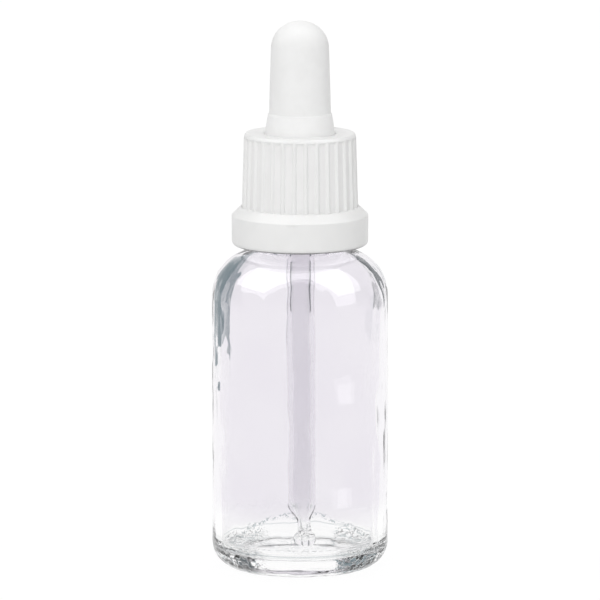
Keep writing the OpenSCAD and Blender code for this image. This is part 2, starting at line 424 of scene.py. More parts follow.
def place_parts(tree, place):
    """Where a point is to the right and to the rear, how high, and how far from the axis."""
    apart = add_node(tree, "ShaderNodeSeparateXYZ", Vector=place)
    flat = add_node(tree, "ShaderNodeVectorMath", {"operation": "MULTIPLY"},
                    n0=place, n1=(1, 1, 0))
    away = add_node(tree, "ShaderNodeVectorMath", {"operation": "LENGTH"},
                    n0=flat.outputs["Vector"])
    return [Maths(tree, socket) for socket in (*apart.outputs, away.outputs["Value"])]


# The glass materials

# Noises: features per metre, detail, and the values between which a mask rises
STIPPLE = {"scale": 1000, "detail": 1.5, "rise": (0.46, 0.56)}
SPECKS = {"scale": 1800, "detail": 2.0, "rise": (0.5, 0.56)}
STREAKS = {"scale": 900, "detail": 3.0, "squash": (1, 1, 2), "rise": (0.56, 0.59)}
SMEARS = {"scale": 260, "detail": 3.0, "rise": (0.45, 0.75)}
CLOUDS = {"scale": 75, "detail": 1.0, "rise": (0.35, 0.65)}
WANDER = {"scale": 170, "detail": 2.0}
WAVE_SQUASH = (1, 1, 0.4)

# Where the glass's marks fade in, in millimetres: the bumped stipple and specks, the painted dark
# refractions and the painted bright zones; Z by height, IN by distance from the axis, SIDE by
# distance to the left or right, and REAR by distance to the rear
STIPPLE_Z = (1.6, 4.6)
STIPPLE_IN = (STAND_RING_R - 1.2, STAND_RING_R - 0.4)
STIPPLE_SIDE = (5.5, 9.5)
FLOOR_Z = (2.2, 2.6)
FLOOR_IN = (INNER_R + 0.4, INNER_R + 0.7)
BOTTOM_LINE_Z = (0.05, 0.2)
BOTTOM_LINE_IN = (STAND_RING_R + 0.6, STAND_RING_R + 0.9)
CREASE_IN = (16, 16.2)
STREAK_Z = (3.6, 4.4)
STREAK_IN = (STAND_RING_R + 0.5, STAND_RING_R + 1)
STREAK_SIDE = (6, 9)
CLEAR_FLOOR_Z = (8, 12)
CLEAR_BASE_Z = (4.8, 6.5)
CLEAR_FRONT_Z = (9, 15)
CLEAR_FRONT_REAR = (-3, 1)

# The uneven line on the floor, in millimetres: its mean distance from the axis, how much
# farther it is behind than in front, how far it wanders, and how its two edges fade
LINE_IN = 12.2
LINE_LEAN = 5.4
LINE_WANDER = 5.0
LINE_FADE = (0.05, 0.9)
LINE_INSIDE = (-0.4, 0.2)

CREASE_Z = HEEL_R - 0.05
CREASE_FADE = (0.03, 0.25)
# Shares of the painted dark refraction on the bottom line and on the crease
BOTTOM_LINE_SHARE = 0.5
CREASE_SHARE = 0.7
SMEAR_ROUGHNESS = 0.012
GLASS_IOR = 1.52
# Painted light: the near-white glass of the zones made brighter
PAINTED_BRIGHT_GLASS = (0.985, 0.985, 0.985)
# Painted dark refraction: the colour that stands in for darker surroundings seen through the glass
PAINTED_DARK_REFRACTION = (0.3, 0.36, 0.38)


def heel_ring(tree, place):
    """1 on the stippled underside of the heel, mostly at the left and right, 0 elsewhere."""
    right, _, height, away = place_parts(tree, place)
    low = 1 - height.ramp_mm(*STIPPLE_Z)
    side = abs(right).ramp_mm(*STIPPLE_SIDE)
    return low * away.ramp_mm(*STIPPLE_IN) * side


def inside_line(tree, place):
    """How far inside the uneven line a point of the floor is: low in front and high behind."""
    _, rear, height, away = place_parts(tree, place)
    climb = height - FLOOR_EDGE_Z * MM
    along = away + climb.at_least(0.0)
    wander = noise_value(tree, place, **WANDER)
    line = LINE_IN * MM + rear / away * (LINE_LEAN * MM) + (wander - 0.5) * (LINE_WANDER * MM)
    return line - along


def floor_specks(tree, place, inside):
    """1 on the specks along the uneven line on the floor of the bottle, 0 elsewhere."""
    _, _, height, away = place_parts(tree, place)
    floor = height.ramp_mm(*FLOOR_Z) * (1 - away.ramp_mm(*FLOOR_IN))
    ridge = (1 - abs(inside).ramp_mm(*LINE_FADE)) * floor
    return noise_value(tree, place, **SPECKS) * ridge


def painted_dark_refractions(tree, place, specks):
    """Painted dark refraction: how dark the specks, the line round the bottom under the stand ring,
    the crease and the heel's streaks are.
    """
    right, _, height, away = place_parts(tree, place)
    # A painted dark line round the bottom, outside the stand ring
    bottom_line = (1 - height.ramp_mm(*BOTTOM_LINE_Z)) * away.ramp_mm(*BOTTOM_LINE_IN)
    bend = height - CREASE_Z * MM
    crease = (1 - abs(bend).ramp_mm(*CREASE_FADE)) * away.ramp_mm(*CREASE_IN)
    low = (1 - height.ramp_mm(*STREAK_Z)) * away.ramp_mm(*STREAK_IN)
    side = abs(right).ramp_mm(*STREAK_SIDE)
    streaks = noise_value(tree, place, **STREAKS) * low * side
    return specks.at_least(bottom_line * BOTTOM_LINE_SHARE).at_least(crease * CREASE_SHARE).at_least(streaks)


def painted_bright_zones(tree, place, inside):
    """Painted light: 1 where the glass is made untinted and brighter: the floor inside its line,
    the base and the low front.
    """
    _, rear, height, _ = place_parts(tree, place)
    floor = inside.ramp_mm(*LINE_INSIDE) * (1 - height.ramp_mm(*CLEAR_FLOOR_Z))
    base = 1 - height.ramp_mm(*CLEAR_BASE_Z)
    front = (1 - height.ramp_mm(*CLEAR_FRONT_Z)) * (1 - rear.ramp_mm(*CLEAR_FRONT_REAR))
    return floor.at_least(base).at_least(front)


def clear_glass(name, tint, cloud, shadow, wave_scale, wave_height, stipple_height, painted):
    """Clear glass with a slight waviness and a stippled heel, which lets lamps through.

    The heights are in millimetres, and painted is 1 for glass with painted dark refractions and 0
    without.
    """
    material, tree, place = new_material(name)
    inside = inside_line(tree, place)
    specks = floor_specks(tree, place, inside)
    # Painted dark refraction, on glass that has it
    dark = painted_dark_refractions(tree, place, specks) * painted
    waves = noise_value(tree, place, wave_scale, squash=WAVE_SQUASH)
    stipple = noise_value(tree, place, **STIPPLE) * heel_ring(tree, place)
    bump = add_node(tree, "ShaderNodeBump", Strength=1.0, Distance=MM,
                    Height=waves * wave_height + (stipple + specks) * stipple_height)
    smears = noise_value(tree, place, **SMEARS)
    clouded = mixed_colour(tree, noise_value(tree, place, **CLOUDS), tint, cloud)
    # Painted light: the brighter zones lose the glass's tint
    brightened = mixed_colour(tree, painted_bright_zones(tree, place, inside), clouded, PAINTED_BRIGHT_GLASS)
    # The painted dark refraction goes over the glass's colour
    refraction_darkened = mixed_colour(tree, dark, brightened, PAINTED_DARK_REFRACTION)
    glass = add_node(tree, "ShaderNodeBsdfPrincipled", Base_Color=refraction_darkened,
                     Roughness=smears * SMEAR_ROUGHNESS, Normal=bump.outputs["Normal"],
                     IOR=GLASS_IOR, Transmission_Weight=1.0)
    through = add_node(tree, "ShaderNodeBsdfTransparent", Color=(*shadow, 1))
    path = add_node(tree, "ShaderNodeLightPath")
    mix = add_node(tree, "ShaderNodeMixShader", n0=path.outputs["Is Shadow Ray"],
                   n1=glass.outputs["BSDF"], n2=through.outputs["BSDF"])
    add_node(tree, "ShaderNodeOutputMaterial", Surface=mix.outputs["Shader"])
    return material


BOTTLE_GLASS = clear_glass(
    "moulded_glass", tint=(0.896, 0.879, 0.912), cloud=(0.909, 0.895, 0.922),
    shadow=(0.88, 0.88, 0.9), wave_scale=90, wave_height=0.04, stipple_height=0.3, painted=1)
PIPETTE_GLASS = clear_glass(
    "drawn_glass", tint=(0.88, 0.873, 0.89), cloud=(0.89, 0.883, 0.9),
    shadow=(0.9, 0.9, 0.92), wave_scale=60, wave_height=0.01, stipple_height=0, painted=0)


# The white materials

MOTTLE = {"scale": 190, "detail": 3.0, "rise": (0.3, 0.7)}
PLASTIC_GRAIN = {"scale": 5200, "detail": 2.0}
PLASTIC_FLOW = {"scale": 700, "detail": 2.0, "squash": (1, 1, 0.3)}
BLOOM = {"scale": 320, "detail": 4.0, "roughness": 0.6, "rise": (0.3, 0.7)}
RUBBER_GRAIN = {"scale": 3800, "detail": 3.0}

PLASTIC_BUMP = {"Strength": 0.12, "Distance": 0.02 * MM}
RUBBER_BUMP = {"Strength": 0.2, "Distance": 0.03 * MM}
GRAIN_SHARE = 0.3
MOTTLE_ROUGHNESS = 0.06
BLOOM_ROUGHNESS = 0.08
RUBBER_ROUGHNESS = 0.5
PLASTIC_IOR = 1.49
RUBBER_IOR = 1.42

# A painted glow for what light through the thin walls adds inside, the fades of that, and
# its share on the flare of the bulb, painted brighter below a height for light scattered from the
# cap
INNER_GLOW = (0.5, 0.495, 0.51)
GLOW_FADE_R = 0.15
GLOW_FADE_H = 0.3
FLARE_GLOW_SHARE = 0.05
FLARE_Z = (CAP_TOP_Z + 3.1, CAP_TOP_Z + 3.8)

# The painted shade on the edge under the band, where the gap to the glass lies in shadow
PAINTED_FOOT_SHADE = (0.34, 0.34, 0.34)
FOOT_SHADE_FADE = 0.04


def inner_light(tree, place, radius, top):
    """1 on what lies within a radius of the axis and below a height, both in millimetres."""
    _, _, height, away = place_parts(tree, place)
    inside = 1 - away.ramp_mm(radius - GLOW_FADE_R, radius)
    return inside * (1 - height.ramp_mm(top - GLOW_FADE_H, top))


def white_shader(tree, colour, roughness, bump, ior, light):
    """An opaque white finish that glows a little where light comes through thin walls."""
    glow = mixed_colour(tree, light, (0, 0, 0), INNER_GLOW)
    finish = add_node(tree, "ShaderNodeBsdfPrincipled", Base_Color=colour, Roughness=roughness,
                      Normal=bump.outputs["Normal"], IOR=ior, Emission_Color=glow,
                      Emission_Strength=1.0)
    add_node(tree, "ShaderNodeOutputMaterial", Surface=finish.outputs["BSDF"])


def white_plastic(name, colour, shade, roughness, inner_r, inner_top, foot_z):
    """Moulded white plastic: satin, with fine flow lines, faint mottling and painted shade on its
    foot.
    """
    material, tree, place = new_material(name)
    mottle = noise_value(tree, place, **MOTTLE)
    grain = noise_value(tree, place, **PLASTIC_GRAIN)
    flow = noise_value(tree, place, **PLASTIC_FLOW)
    bump = add_node(tree, "ShaderNodeBump", Height=grain * GRAIN_SHARE + flow, **PLASTIC_BUMP)
    height = place_parts(tree, place)[2]
    # Painted shade below foot_z, at the foot's gap to the glass
    foot_shade = 1 - height.ramp_mm(foot_z - FOOT_SHADE_FADE, foot_z)
    skin = mixed_colour(tree, foot_shade, mixed_colour(tree, mottle, colour, shade), PAINTED_FOOT_SHADE)
    satin = mottle * MOTTLE_ROUGHNESS + (roughness - MOTTLE_ROUGHNESS / 2)
    light = inner_light(tree, place, inner_r, inner_top)
    white_shader(tree, skin, satin, bump, PLASTIC_IOR, light)
    return material


def white_rubber(name, colour, shade, inner_r, inner_top):
    """Soft white rubber: matte, with a fine powdery bloom."""
    material, tree, place = new_material(name)
    bloom = noise_value(tree, place, **BLOOM)
    grain = noise_value(tree, place, **RUBBER_GRAIN)
    bump = add_node(tree, "ShaderNodeBump", Height=grain, **RUBBER_BUMP)
    height = place_parts(tree, place)[2]
    # Painted glow on the flare, for light scattered from the cap
    flare = 1 - height.ramp_mm(*FLARE_Z)
    light = inner_light(tree, place, inner_r, inner_top).at_least(flare * FLARE_GLOW_SHARE)
    skin = mixed_colour(tree, bloom, colour, shade)
    matte = bloom * BLOOM_ROUGHNESS + RUBBER_ROUGHNESS
    white_shader(tree, skin, matte, bump, RUBBER_IOR, light)
    return material


CAP_PLASTIC = white_plastic(
    "cap_plastic", colour=(0.85, 0.85, 0.845), shade=(0.83, 0.83, 0.825), roughness=0.36,
    inner_r=SKIRT_IN_R + 0.1, inner_top=PLATE_Z + 0.4, foot_z=0)
# The band has painted shade under its foot; the cap's foot_z of 0 leaves it none
BAND_PLASTIC = white_plastic(
    "band_plastic", colour=(0.84, 0.84, 0.835), shade=(0.82, 0.82, 0.815), roughness=0.4,
    inner_r=BAND_R - BAND_WALL + 0.1, inner_top=LEDGE_Z + 0.2, foot_z=BAND_FOOT_Z + 0.3)
BULB_RUBBER = white_rubber(
    "bulb_rubber", colour=(0.866, 0.866, 0.862), shade=(0.842, 0.842, 0.837),
    inner_r=FLANGE_R + 0.2, inner_top=CAP_TOP_Z - 0.4)


# The glass bottle

GLASS_SEGMENTS = 320
GLASS_STEP = 0.7
GLASS_WALL_STEP = 1.2
SHOULDER_STEPS = 28

# Waves of the glass: height in millimetres, size in millimetres and seed
INNER_WAVES = ((0.10, 7, 3), (0.06, 2.6, 11), (0.02, 1.4, 7))
OUTER_WAVES = ((0.03, 9, 5),)
INNER_WAVE_FADE = 5
OUTER_WAVE_FADE = 6
WAVE_UPRIGHT = 0.45

# How far the hollow's points may be past its side and its floor
HOLLOW_PAST_SIDE = 0.3
HOLLOW_PAST_FLOOR = 0.2

# Knurls of the stand ring, which fade in by the share of a direction that is sideways
KNURLS = 80
KNURL_DEPTH = 0.06
KNURL_SIDE = (0.5, 0.9)
KNURL_FROM_R = STAND_RING_R - 0.2
KNURL_TO_R = BODY_R - HEEL_R + 0.5


def glass_outlines():
    """The outside and the inside of the glass, each from the axis or the lip."""
    throat_mid_r = BORE_R + THROAT_R
    out_stop = math.degrees(math.acos((NECK_R - SHOULDER_MID_R) / SHOULDER_R))
    in_stop = math.degrees(math.acos((throat_mid_r - SHOULDER_IN_MID_R) / SHOULDER_IN_R))
    in_mid_z = SHOULDER_IN_TOP_Z - SHOULDER_IN_R
    throat_z = in_mid_z + SHOULDER_IN_R * math.sin(math.radians(in_stop))
    lip_z = LIP_Z - LIP_ROUND
    outside = bowl(0, PUSH_UP, STAND_RING_R, 0)
    outside += arc(BODY_R - HEEL_R, HEEL_R, HEEL_R, -90, 0, steps=16)
    outside += arc(SHOULDER_MID_R, SIDE_Z, SHOULDER_R, 0, out_stop, steps=SHOULDER_STEPS)
    outside += [(NECK_R, BEAD_Z)]
    outside += arc(BEAD_R - BEAD_T / 2, BEAD_Z + BEAD_T / 2, BEAD_T / 2, -90, 90, steps=8)
    outside += [(THREAD_ROOT_R, BEAD_Z + BEAD_T)]
    outside += arc(THREAD_ROOT_R - LIP_ROUND, lip_z, LIP_ROUND, 0, 90, steps=6)
    inside = arc(BORE_R + LIP_ROUND, lip_z, LIP_ROUND, 90, 180, steps=6)
    inside += arc(throat_mid_r, throat_z + THROAT_R, THROAT_R, 180, 270, steps=8)
    inside += arc(SHOULDER_IN_MID_R, in_mid_z, SHOULDER_IN_R, in_stop, 0, steps=SHOULDER_STEPS)
    inside += arc(INNER_R - FLOOR_R, FLOOR_EDGE_Z + FLOOR_R, FLOOR_R, 0, -90, steps=12)
    inside += bowl(INNER_R - FLOOR_R, FLOOR_EDGE_Z, 0, FLOOR_MID_Z)
    return outside, inside


def wave_height(co, waves):
    """The sum of smooth waves at a point of the glass, drawn out upright, in millimetres."""
    at = Vector((co.x / MM, co.y / MM, co.z / MM * WAVE_UPRIGHT))
    return sum(high * noise.noise(at / size + Vector((seed, 0, 0))) for high, size, seed in waves)


def is_hollow(r, z):
    """Whether a point of the glass below the shoulder's top is on the inside."""
    inward = r < INNER_R + HOLLOW_PAST_SIDE and z > FLOOR_MID_Z - HOLLOW_PAST_FLOOR
    return inward and not (z < FLOOR_EDGE_Z and r > INNER_R)


def glass_offset(vert):
    """How far a point of the glass moves out: waves in and out, and knurls on the ring."""
    r, z = radius_and_height(vert)
    if z > SHOULDER_IN_TOP_Z:
        return 0.0
    if is_hollow(r, z):
        fade = smooth_step(0, INNER_WAVE_FADE, SHOULDER_IN_TOP_Z - z)
        return wave_height(vert.co, INNER_WAVES) * fade
    if z > HEEL_R:
        return wave_height(vert.co, OUTER_WAVES) * smooth_step(0, OUTER_WAVE_FADE, z - HEEL_R)
    if KNURL_FROM_R < r < KNURL_TO_R:
        angle = math.atan2(vert.co.y, vert.co.x)
        knurl = KNURL_DEPTH * (1 + math.cos(KNURLS * angle)) / 2
        return -knurl * smooth_step(*KNURL_SIDE, abs(math.cos(angle)))
    return 0.0


def shape_glass(bm):
    """Gives the outside a faint wave, the inside a plain one, and the ring its fine knurls."""
    bm.normal_update()
    moves = [(v, v.normal * (glass_offset(v) * MM)) for v in bm.verts]
    for v, move in moves:
        v.co += move


def build_glass_bottle():
    outside, inside = glass_outlines()
    bm = lathe(eased(outside + inside, GLASS_STEP, GLASS_WALL_STEP), GLASS_SEGMENTS)
    cut_thread(bm, THREAD_ROOT_R, THREAD_CREST_R, GLASS_THREAD_Z)
    shape_glass(bm)
    piece = finished(bm, "moulded_bottle", "bottle", BOTTLE_GLASS, sharp=60)
    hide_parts("glass_bottle")


# The glass pipette

PIPETTE_SEGMENTS = 96
PIPETTE_STEP = 0.6


def pipette_outlines():
    """The outside from the tip's mouth to the top, and the bore from the top to the tip."""
    ball_z = TIP_Z + BALL_H / 2
    mouth = math.degrees(math.acos(TIP_BORE_R / BALL_R))
    stop = math.degrees(math.acos(TIP_NECK_R / BALL_R))
    outside = arc(0, ball_z, BALL_R, -mouth, stop, steps=24, squeeze=BALL_H / 2 / BALL_R)
    outside += [
        (TIP_NECK_R - 0.05, ball_z + 1.8),
        (TIP_NECK_R - 0.08, TIP_NECK_Z - 0.4),
        (TIP_NECK_R + 0.1, TIP_NECK_Z + 0.2),
        (TIP_NECK_R + 0.75, TUBE_END_Z - 0.9),
        (TUBE_R - 0.12, TUBE_END_Z - 0.2),
        (TUBE_R, TUBE_END_Z + 0.5),
        (TUBE_R, TUBE_TOP_Z - TUBE_ROUND),
        (TUBE_R - TUBE_ROUND, TUBE_TOP_Z),
    ]
    inside = [
        (TUBE_BORE_R + TUBE_ROUND, TUBE_TOP_Z),
        (TUBE_BORE_R, TUBE_TOP_Z - TUBE_ROUND),
        (TUBE_BORE_R, TUBE_END_Z + 0.9),
        (TUBE_BORE_R - 0.25, TUBE_END_Z),
        (TIP_BORE_R + 0.15, TIP_NECK_Z + 0.3),
        (TIP_BORE_R, TIP_NECK_Z - 0.6),
    ]
    return outside, inside


def build_glass_pipette():
    outside, inside = pipette_outlines()
    bm = lathe(eased(outside + inside, PIPETTE_STEP), PIPETTE_SEGMENTS)
    for v in bm.verts:
        below = (TUBE_END_Z - v.co.z / MM) / (TUBE_END_Z - TIP_Z)
        v.co.x += TIP_BEND * MM * smooth_step(0, 1, below)
    lean = Matrix.Rotation(-LEAN_FRONT, 4, "X") @ Matrix.Rotation(-LEAN_RIGHT, 4, "Y")
    about = Matrix.Translation((0, 0, LEAN_Z * MM))
    bmesh.ops.transform(bm, matrix=about @ lean @ about.inverted(), verts=bm.verts)
    piece = finished(bm, "drawn_pipette", "dropper", PIPETTE_GLASS, sharp=50)
    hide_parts("glass_pipette")


# The rubber bulb

BULB_SEGMENTS = 160
BULB_STEP = 0.6


def bulb_outline():
    """From the top of the dome down the outside, round the plug and up the hollow."""
    dome_z = BULB_TOP_Z - DOME_H
    hollow_r = DOME_R - BULB_WALL
    grip_r = TUBE_R + 0.05
    outline = arc(0, dome_z, DOME_R, 90, 0, steps=24, squeeze=DOME_H / DOME_R)
    outline += [
        (5.52, CAP_TOP_Z + 12.0),
        (5.68, CAP_TOP_Z + 7.0),
        (5.74, BULB_CREASE_Z + 0.9),
        (5.74, BULB_CREASE_Z + 0.16),
        (5.79, BULB_CREASE_Z + 0.04),
        (5.88, BULB_CREASE_Z),
        (5.95, BULB_CREASE_Z - 0.08),
        (6.16, CAP_TOP_Z + 2.4),
        (6.32, CAP_TOP_Z + 1.3),
        (6.42, CAP_TOP_Z + 0.4),
        (6.42, CAP_TOP_Z),
        (6.5, CAP_TOP_Z - 0.5),
        (6.5, PLATE_Z),
    ]
    flange_mid_r = FLANGE_R - FLANGE_ROUND
    outline += arc(flange_mid_r, PLATE_Z - FLANGE_ROUND, FLANGE_ROUND, 90, 0, steps=4)
    outline += arc(flange_mid_r, LIP_Z + FLANGE_ROUND, FLANGE_ROUND, 0, -90, steps=4)
    outline += [
        (PLUG_R, LIP_Z),
        (PLUG_R, PLUG_Z + PLUG_TAPER_H),
        (PLUG_R - 0.5, PLUG_Z),
        (grip_r, PLUG_Z),
        (grip_r, GRIP_TOP_Z),
        (hollow_r + 0.2, GRIP_TOP_Z),
        (hollow_r + 0.1, BULB_CREASE_Z),
    ]
    flatness = (DOME_H - BULB_WALL) / hollow_r
    outline += arc(0, dome_z, hollow_r, 0, 90, steps=16, squeeze=flatness)
    return outline


def build_rubber_bulb():
    bm = lathe(eased(bulb_outline(), BULB_STEP), BULB_SEGMENTS)
    piece = finished(bm, "soft_bulb", None, BULB_RUBBER, sharp=35)
    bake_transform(piece)
    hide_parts("rubber_bulb")


# The screw cap

CAP_SEGMENTS = RIB_COUNT * 18
CAP_STEP = 0.3
CAP_ROUND = 0.3

# The power that shapes a rib's round, how far the ribs' ends fade, and the side they are on
RIB_POWER = 0.8
RIB_TOP_FADE = 0.5
RIB_TOP_ROUND = 0.25
RIB_FOOT_FADE = 0.3
RIBBED_FROM_R = CAP_TOP_R - 0.6


def groove_depth(angle, z):
    """How deep the flat grooves beside the round ribs are at a point, from 0 to 1."""
    phase = abs((angle * RIB_COUNT / (2 * math.pi) + 0.5) % 1 - 0.5) * 2
    crest = max(0.0, 1 - (phase / RIB_SHARE) ** 2) ** RIB_POWER
    top = smooth_step(0, RIB_TOP_FADE, RIB_TOP_Z + RIB_TOP_ROUND * crest - RIB_TOP_ROUND - z)
    foot = smooth_step(0, RIB_FOOT_FADE, z - RIB_FOOT_Z)
    return (1 - crest) * top * foot


def cap_outline():
    """From the foot up the outside, over the top to the hole and the plate's underside."""
    outline = [
        (SKIRT_IN_R, CAP_FOOT_Z),
        (CAP_FOOT_R - RIB_DEPTH, CAP_FOOT_Z),
        (CAP_FOOT_R, RIB_FOOT_Z),
        (CAP_TOP_R, RIB_TOP_Z - 0.3),
        (CAP_TOP_R - 0.05, RIB_TOP_Z - 0.1),
    ]
    outline += arc(CAP_TOP_R - 0.5, CAP_TOP_Z - CAP_ROUND, CAP_ROUND, 20, 90, steps=6)
    outline += [
        (CAP_TOP_R - 1.5, CAP_TOP_Z - 0.02),
        (CAP_HOLE_R + 0.35, CAP_TOP_Z - 0.04),
        (CAP_HOLE_R + 0.1, CAP_TOP_Z - 0.14),
        (CAP_HOLE_R, CAP_TOP_Z - 0.4),
        (CAP_HOLE_R, PLATE_Z),
        (SKIRT_IN_R, PLATE_Z),
    ]
    return outline


def build_screw_cap():
    bm = lathe(eased(cap_outline(), CAP_STEP), CAP_SEGMENTS)
    for v in bm.verts:
        r, z = radius_and_height(v)
        if r > RIBBED_FROM_R and z < RIB_TOP_Z:
            angle = math.atan2(v.co.y, v.co.x)
            set_radius(v, r, r - RIB_DEPTH * groove_depth(angle, z))
    cut_thread(bm, SKIRT_IN_R, CAP_CREST_R, CAP_THREAD_Z)
    piece = finished(bm, "ribbed_cap", "cap", CAP_PLASTIC, sharp=50)
    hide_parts("screw_cap")


# The tamper band and its bridges

BAND_SEGMENTS = 400
BAND_STEP = 0.3
BRIDGE_SEGMENTS = 16


def band_outline():
    """From the foot up the outer skirt, over the lip and down the inner ring with its snap."""
    skirt_in = BAND_R - BAND_WALL
    ring_out = BAND_IN_R + BAND_WALL
    foot_z = BAND_FOOT_Z + BAND_FOOT_ROUND
    outline = [(skirt_in, BAND_FOOT_Z)]
    outline += arc(BAND_R - BAND_FOOT_ROUND, foot_z, BAND_FOOT_ROUND, -75, -15, steps=8)
    outline += [(BAND_R, BAND_EDGE_Z - 0.9), (BAND_R, BAND_EDGE_Z - 0.6)]
    outline += arc(BAND_R - BAND_EDGE_ROUND, BAND_EDGE_Z - 0.2, BAND_EDGE_ROUND, 0, 45,
                   steps=6)
    outline += [
        (BAND_R - BAND_EDGE_ROUND, BAND_EDGE_Z + 0.22),
        (BAND_R - 0.6, BAND_EDGE_Z + 0.5),
        (BAND_LIP_R + 0.25, BAND_TOP_Z - 0.05),
        (BAND_LIP_R + 0.1, BAND_TOP_Z),
        (BAND_LIP_R, BAND_TOP_Z - 0.1),
        (BAND_LIP_R, LEDGE_Z),
        (BAND_IN_R, LEDGE_Z),
        (BAND_IN_R, SNAP_Z),
        (SNAP_R, SNAP_Z - 0.3),
        (SNAP_R, SNAP_Z - 0.6),
        (BAND_IN_R, SNAP_Z - 1),
        (ring_out, SNAP_Z - 1),
        (ring_out, LEDGE_Z - LEDGE_T),
        (skirt_in, LEDGE_Z - LEDGE_T),
    ]
    return outline


def gate_height(off, up):
    """How far the gate mark stands out beside and above the middle of the band's edge."""
    across = (off / GATE_HALF_W) ** 4
    upright = ((up + GATE_DROP) / GATE_HALF_H) ** 2
    return GATE_RISE * math.exp(-across - upright)


def build_tamper_band():
    bm = lathe(eased(band_outline(), BAND_STEP), BAND_SEGMENTS)
    for v in bm.verts:
        r, z = radius_and_height(v)
        off = (math.atan2(v.co.y, v.co.x) - GATE_ANGLE) * BAND_R
        up = z - BAND_EDGE_Z
        if r > BAND_R - GATE_REACH and abs(up) < GATE_REACH:
            set_radius(v, r, r + gate_height(off, up))
    piece = finished(bm, "snap_band", "band", BAND_PLASTIC, sharp=35)
    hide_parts("tamper_band")


def build_tamper_bridges():
    bm = bmesh.new()
    height = (BRIDGE_HIGH.z - BRIDGE_LOW.z) * MM
    ring_r = BRIDGE_HIGH.x - BRIDGE_TOP_R
    for i in range(BRIDGE_COUNT):
        turned = Matrix.Rotation(math.tau * i / BRIDGE_COUNT, 4, "Z")
        moved = Matrix.Translation((ring_r * MM, 0, LEDGE_Z * MM + height / 2))
        bmesh.ops.create_cone(bm, cap_ends=True, segments=BRIDGE_SEGMENTS,
                              radius1=BRIDGE_FOOT_R * MM, radius2=BRIDGE_TOP_R * MM,
                              depth=height, matrix=turned @ moved)
    piece = finished(bm, "break_bridges", "bridges", BAND_PLASTIC, sharp=35)
    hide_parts("tamper_bridges")


# The studio

AMBIENT_LIGHT = 0.65
REFLECTED_LIGHT = 0.8

# The floor, in metres, and the share of its own white that is seen right under the bottle
FLOOR_SEGMENTS = 96
FLOOR_SIZE = 4.0
FLOOR_DROP = 0.02 * MM
FLOOR_WHITE_FROM = (0.018, 0.06)
FLOOR_WHITE_NEAR = 0.95
FLOOR_COLOUR = (0.85, 0.85, 0.85, 1)
FLOOR_GLOW = 1.02
WHITE = (1, 1, 1, 1)

# A ray that passed through more surfaces than the first has gone through the pipette, and
# one that passed through fewer than the second has gone through one wall at most
PIPETTE_DEPTH = 5.5
FIRST_WALL_DEPTH = 2.5

LAMP_AIM = Vector((0, 0, 0.06))


def ray_kinds(tree):
    """Sockets that are 1 for the camera's rays, for reflected ones and for ones in glass."""
    path = add_node(tree, "ShaderNodeLightPath")
    kinds = ("Camera", "Glossy", "Transmission")
    return [Maths(tree, path.outputs[f"Is {kind} Ray"]) for kind in kinds]


def studio_world():
    """White to the camera and through glass, a little darker in reflections, and soft light."""
    world = bpy.data.worlds.new("studio")
    bpy.context.scene.world = world
    tree = new_tree(world)
    camera, glossy, through = ray_kinds(tree)
    seen = (camera + through).at_most(1.0)
    strength = seen.at_least(glossy * REFLECTED_LIGHT).at_least(AMBIENT_LIGHT)
    sky = add_node(tree, "ShaderNodeBackground", Color=WHITE, Strength=strength)
    add_node(tree, "ShaderNodeOutputWorld", Surface=sky.outputs["Background"])


def staged_mesh(bm, name, material):
    """A piece of the studio, which is no part of the object."""
    new_object(bm, name, material)


def studio_floor():
    """A plain pale floor, white to the camera, with a faint shadow near the bottle."""
    bm = bmesh.new()
    bmesh.ops.create_circle(bm, cap_ends=True, segments=FLOOR_SEGMENTS, radius=FLOOR_SIZE)
    bmesh.ops.translate(bm, verts=bm.verts, vec=(0, 0, -FLOOR_DROP))
    material, tree, place = new_material("pale_floor")
    camera, glossy, through = ray_kinds(tree)
    length = add_node(tree, "ShaderNodeVectorMath", {"operation": "LENGTH"}, n0=place)
    away = Maths(tree, length.outputs["Value"])
    white = away.ramp(*FLOOR_WHITE_FROM) * (1 - FLOOR_WHITE_NEAR) + FLOOR_WHITE_NEAR
    matte = add_node(tree, "ShaderNodeBsdfDiffuse", Color=FLOOR_COLOUR)
    glow = add_node(tree, "ShaderNodeEmission", Color=WHITE, Strength=FLOOR_GLOW)
    seen = (camera + glossy + through).at_most(white)
    mix = add_node(tree, "ShaderNodeMixShader", n0=seen, n1=matte.outputs[0], n2=glow.outputs[0])
    add_node(tree, "ShaderNodeOutputMaterial", Surface=mix.outputs["Shader"])
    staged_mesh(bm, "floor", material)


def card_material(name, colour, strength, reflected, walls, tube):
    """A plain card without a shadow, seen in reflections, through the walls or the pipette.

    The last three values are how much it shows in each of them.
    """
    material = bpy.data.materials.new(name)
    tree = new_tree(material)
    _, glossy, through = ray_kinds(tree)
    clear = add_node(tree, "ShaderNodeBsdfTransparent")
    glow = add_node(tree, "ShaderNodeEmission", Color=(*colour, 1), Strength=strength)
    path = add_node(tree, "ShaderNodeLightPath")
    depth = Maths(tree, path.outputs["Transmission Depth"])
    many = depth > PIPETTE_DEPTH
    first = depth < FIRST_WALL_DEPTH
    seen = glossy * first * reflected + through * (many * tube + (1 - many) * walls)
    mix = add_node(tree, "ShaderNodeMixShader", n0=seen, n1=clear.outputs[0], n2=glow.outputs[0])
    add_node(tree, "ShaderNodeOutputMaterial", Surface=mix.outputs["Shader"])
    return material


